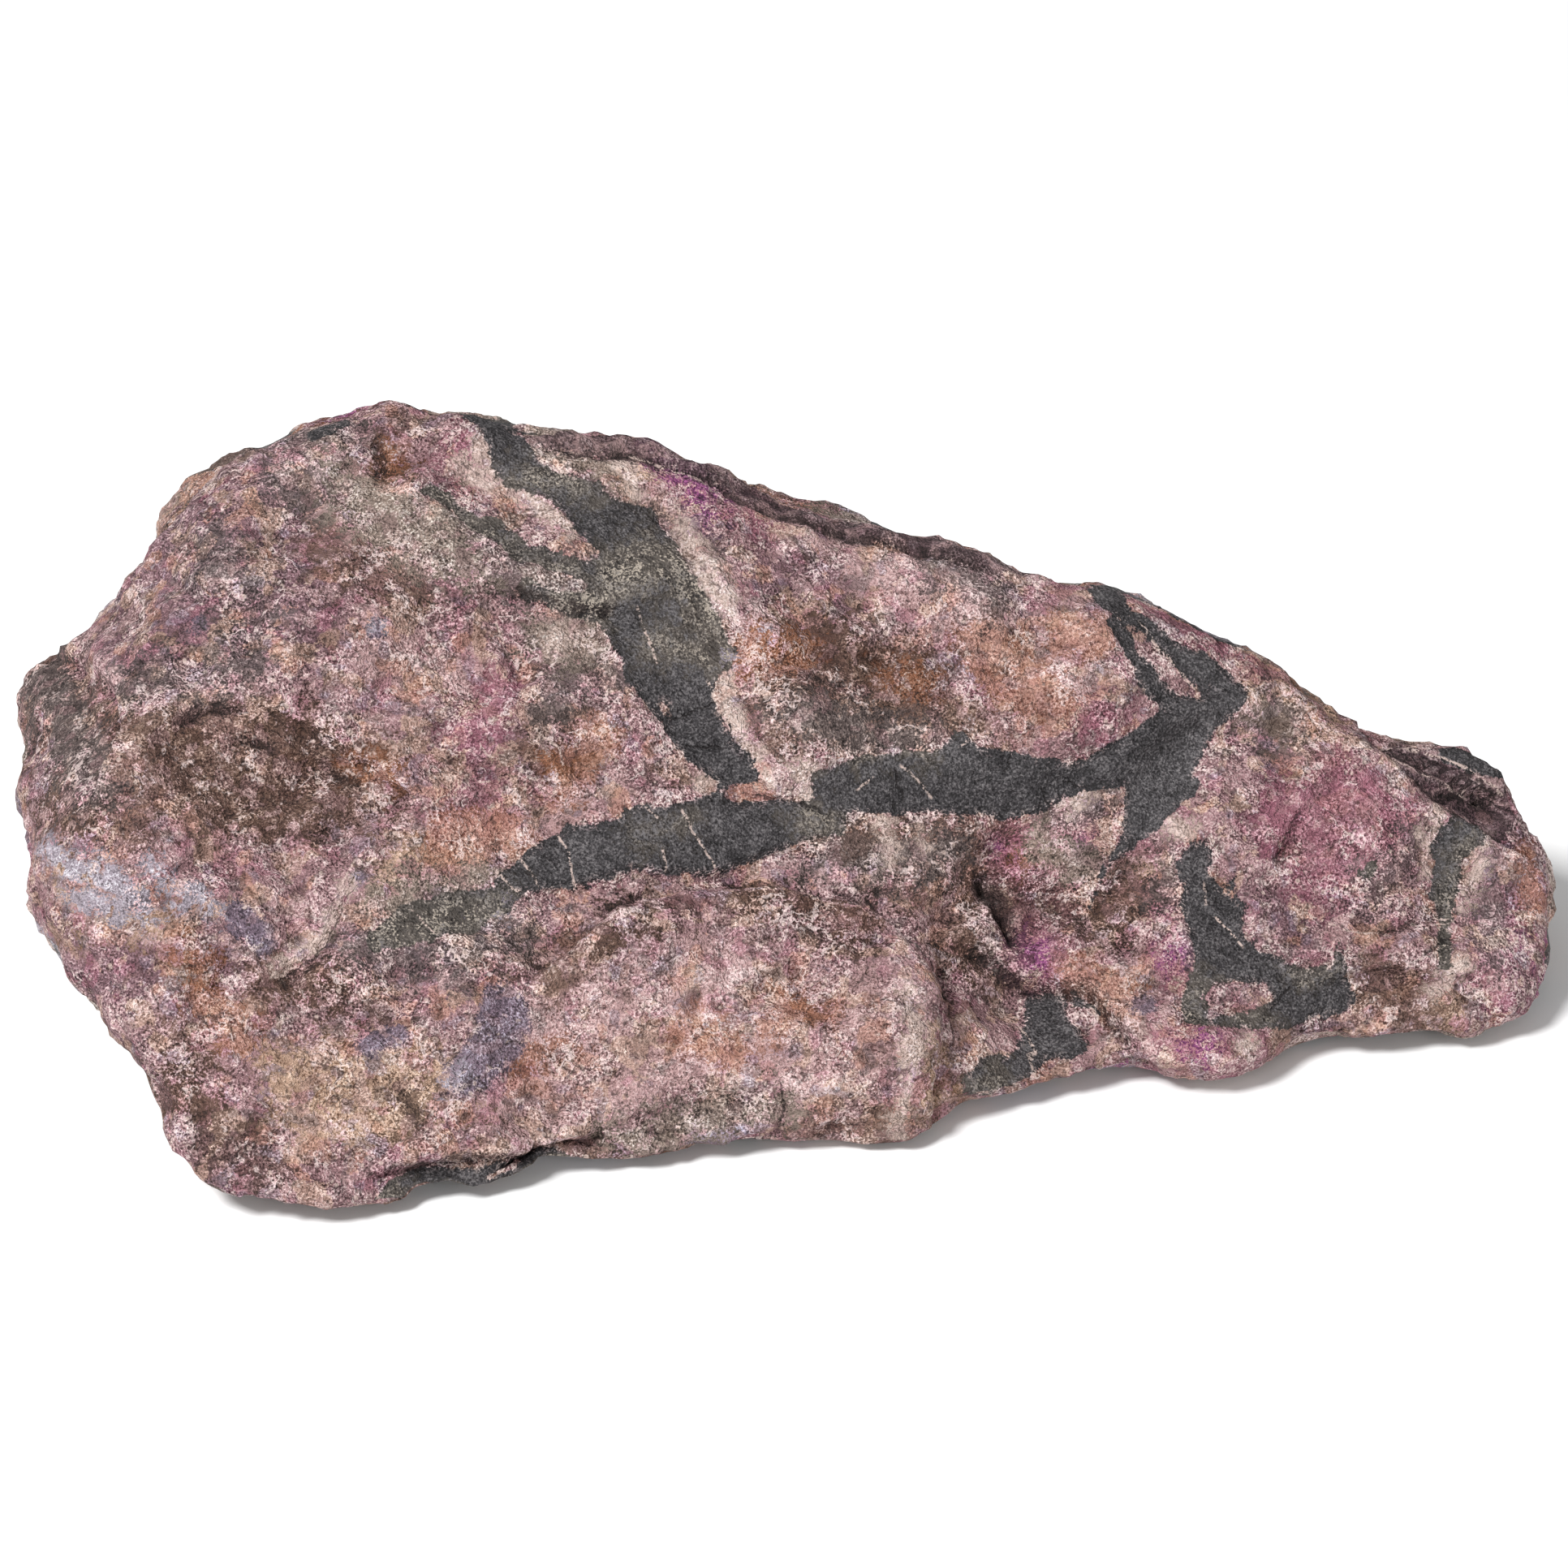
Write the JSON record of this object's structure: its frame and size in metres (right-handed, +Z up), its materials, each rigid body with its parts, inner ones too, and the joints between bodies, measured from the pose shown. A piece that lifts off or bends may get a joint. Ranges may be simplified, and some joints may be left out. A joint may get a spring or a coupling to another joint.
{
  "type": "rough sugilite",
  "caption": "Rough solid lump of purple-pink sugilite rock with black manganese veins; lies on a small flat spot as a display or set-dressing mineral.",
  "frame": {"origin": "on the table, under the middle of the stone's bounding box", "axes": "+X along the stone's long side towards its narrow end, +Z up, -Y towards the side its big weathered face leans to"},
  "size_m": [0.1234, 0.0737, 0.0417],
  "materials": {
    "rock": "dry matte broken rock"
  },
  "bodies": {
    "root": {"sugilite": "rock"}
  },
  "joints": []
}
